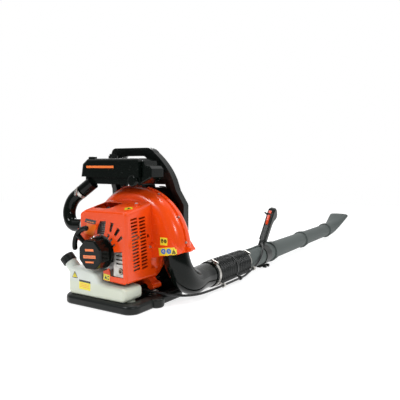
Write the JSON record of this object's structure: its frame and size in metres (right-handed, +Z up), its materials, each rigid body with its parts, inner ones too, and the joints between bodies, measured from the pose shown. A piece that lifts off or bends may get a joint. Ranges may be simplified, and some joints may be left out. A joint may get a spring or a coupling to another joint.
{
  "type": "backpack leaf blower",
  "caption": "Backpack leaf blower: engine and fan case on a carrying frame, with a flexible hose, a straight blow tube, a flat nozzle and a control grip.",
  "frame": {"origin": "on the ground, under the middle of the base's width", "axes": "+X to the wearer's right, where the air leaves the fan case; +Y to the wearer's front, along the blow tube; +Z up"},
  "size_m": [0.4459, 2.03, 0.49],
  "materials": {
    "black_plastic": "moulded glass-filled plastic with a fine grain",
    "gloss_black": "smooth black moulded plastic",
    "orange_plastic": "glossy orange-red moulded plastic",
    "tank_plastic": "milky blow moulded plastic",
    "tube_plastic": "dark grey-green extruded plastic",
    "rubber": "black rubber",
    "steel": "zinc plated steel",
    "alloy": "die cast alloy",
    "fan_plastic": "black nylon",
    "fabric": "black woven nylon over foam",
    "paper": "pleated filter paper",
    "ceramic": "glazed ceramic",
    "orange_control": "orange-red control plastic"
  },
  "bodies": {
    "machine": {"base_frame": "black_plastic", "back_frame": "black_plastic", "back_pad": "fabric", "shoulder_strap_left": "fabric", "shoulder_strap_right": "fabric", "damper_springs": "steel", "fan_case_front": "orange_plastic", "fan_case_rear": "orange_plastic", "inlet_guard": "fan_plastic", "screws": "steel", "crankcase": "alloy", "cylinder": "alloy", "spark_plug": "ceramic", "plug_lead": "rubber", "ignition_coil": "black_plastic", "muffler": "steel", "muffler_guard": "steel", "carburettor": "alloy", "intake_duct": "rubber", "worm_clamps": "steel", "air_cleaner_base": "gloss_black", "air_cleaner_cover": "gloss_black", "air_filter": "paper", "starter_housing": "gloss_black", "recoil_spring": "steel", "fuel_tank": "tank_plastic", "fuel_line": "rubber", "engine_cover": "orange_plastic", "elbow_duct": "gloss_black", "cable_engine": "rubber", "bellows_front": "rubber", "cable_front": "rubber"},
    "rotor": {"crankshaft": "steel", "flywheel": "alloy", "impeller": "fan_plastic"},
    "piston": {"piston": "alloy"},
    "starter_pulley": {"starter_pulley": "fan_plastic"},
    "pull_handle": {"pull_handle": "black_plastic", "starter_rope": "fabric"},
    "fuel_cap": {"fuel_cap": "black_plastic"},
    "cover_knob": {"cover_knob": "black_plastic"},
    "choke_lever": {"choke_lever": "orange_control"},
    "primer_bulb": {"primer_bulb": "rubber"},
    "carb_lever": {"carb_lever": "steel"},
    "hose_ring": {"hose_ring": "rubber", "bellows_rear": "rubber", "cable_rear": "rubber"},
    "blow_tube": {"hose_clamp_rear": "steel", "pipe_a": "tube_plastic", "pipe_b": "tube_plastic", "pipe_c": "tube_plastic", "handle_clamp": "black_plastic", "clamp_knobs": "black_plastic", "handle_grip": "black_plastic", "cable_tube": "rubber"},
    "nozzle": {"nozzle": "tube_plastic"},
    "throttle_trigger": {"throttle_trigger": "orange_control"},
    "lockout_lever": {"lockout_lever": "orange_control"},
    "stop_switch": {"stop_switch": "orange_control"},
    "cruise_lever": {"cruise_lever": "black_plastic"}
  },
  "joints": [
    {"name": "crank_spin", "type": "hinge", "parent": "machine", "child": "rotor", "pos_m": [0, 0, 0.17], "axis": [0, 1, 0], "continuous": true},
    {"name": "piston_stroke", "type": "slide", "parent": "machine", "child": "piston", "axis": [0, 0, 1], "range_m": [-0.028, 0]},
    {"name": "rope_pull", "type": "slide", "parent": "machine", "child": "pull_handle", "axis": [-0.7934, 0, 0.6088], "range_m": [0, 0.7], "stiffness_N_per_m": 4, "springref_m": -0.9, "deforming": ["starter_rope"]},
    {"name": "pulley_turn", "type": "hinge", "parent": "machine", "child": "starter_pulley", "pos_m": [0, -0.13, 0.17], "axis": [0, 1, 0], "range_deg": [0, 1600]},
    {"name": "fuel_cap_turn", "type": "hinge", "parent": "machine", "child": "fuel_cap", "pos_m": [-0.146, -0.088, 0.122], "axis": [-0.7062, -0.0504, 0.7062], "range_deg": [0, 540]},
    {"name": "cover_knob_turn", "type": "hinge", "parent": "machine", "child": "cover_knob", "pos_m": [-0.047, 0.01, 0.46], "axis": [0, 0, 1], "range_deg": [0, 720]},
    {"name": "choke_turn", "type": "hinge", "parent": "machine", "child": "choke_lever", "pos_m": [-0.113, -0.083, 0.229], "axis": [0, 1, 0], "range_deg": [0, 60]},
    {"name": "primer_press", "type": "slide", "parent": "machine", "child": "primer_bulb", "axis": [0, 1, 0], "range_m": [0, 0.003], "stiffness_N_per_m": 400},
    {"name": "carb_throttle_turn", "type": "hinge", "parent": "machine", "child": "carb_lever", "pos_m": [-0.098, -0.052, 0.255], "axis": [0, 0, 1], "range_deg": [0, 60]},
    {"name": "tube_swing", "type": "hinge", "parent": "machine", "child": "hose_ring", "pos_m": [0.167, 0.3325, 0.052], "axis": [0, 0, 1], "range_deg": [-25, 15], "deforming": ["bellows_front", "cable_front", "cable_engine"]},
    {"name": "tube_lift", "type": "hinge", "parent": "hose_ring", "child": "blow_tube", "pos_m": [0.167, 0.4535, 0.052], "axis": [1, 0, 0], "range_deg": [0, 45], "deforming": ["bellows_rear", "cable_rear"]},
    {"name": "nozzle_turn", "type": "hinge", "parent": "blow_tube", "child": "nozzle", "pos_m": [0.167, 1.6, 0.052], "axis": [0, 1, 0], "range_deg": [-90, 90]},
    {"name": "trigger_squeeze", "type": "hinge", "parent": "blow_tube", "child": "throttle_trigger", "pos_m": [0.18353, 0.75228, 0.19328], "axis": [0.9881, 0, -0.1537], "range_deg": [0, 14], "stiffness_Nm_per_rad": 0.25, "springref_deg": -11.46},
    {"name": "lockout_press", "type": "hinge", "parent": "blow_tube", "child": "lockout_lever", "pos_m": [0.18156, 0.72237, 0.18057], "axis": [0.9881, 0, -0.1537], "range_deg": [0, 8], "stiffness_Nm_per_rad": 0.25, "springref_deg": -11.46},
    {"name": "stop_slide", "type": "slide", "parent": "blow_tube", "child": "stop_switch", "axis": [0.1402, 0.4105, 0.901], "range_m": [-0.001, 0.003]},
    {"name": "cruise_turn", "type": "hinge", "parent": "blow_tube", "child": "cruise_lever", "pos_m": [0.18693, 0.75676, 0.21513], "axis": [0.9881, 0, -0.1537], "range_deg": [0, 40]}
  ],
  "couplings": [
    {"joint": "pulley_turn", "follows": "rope_pull", "rad_per_m": 38.462},
    {"joint": "carb_throttle_turn", "follows": "trigger_squeeze", "ratio": 4}
  ]
}
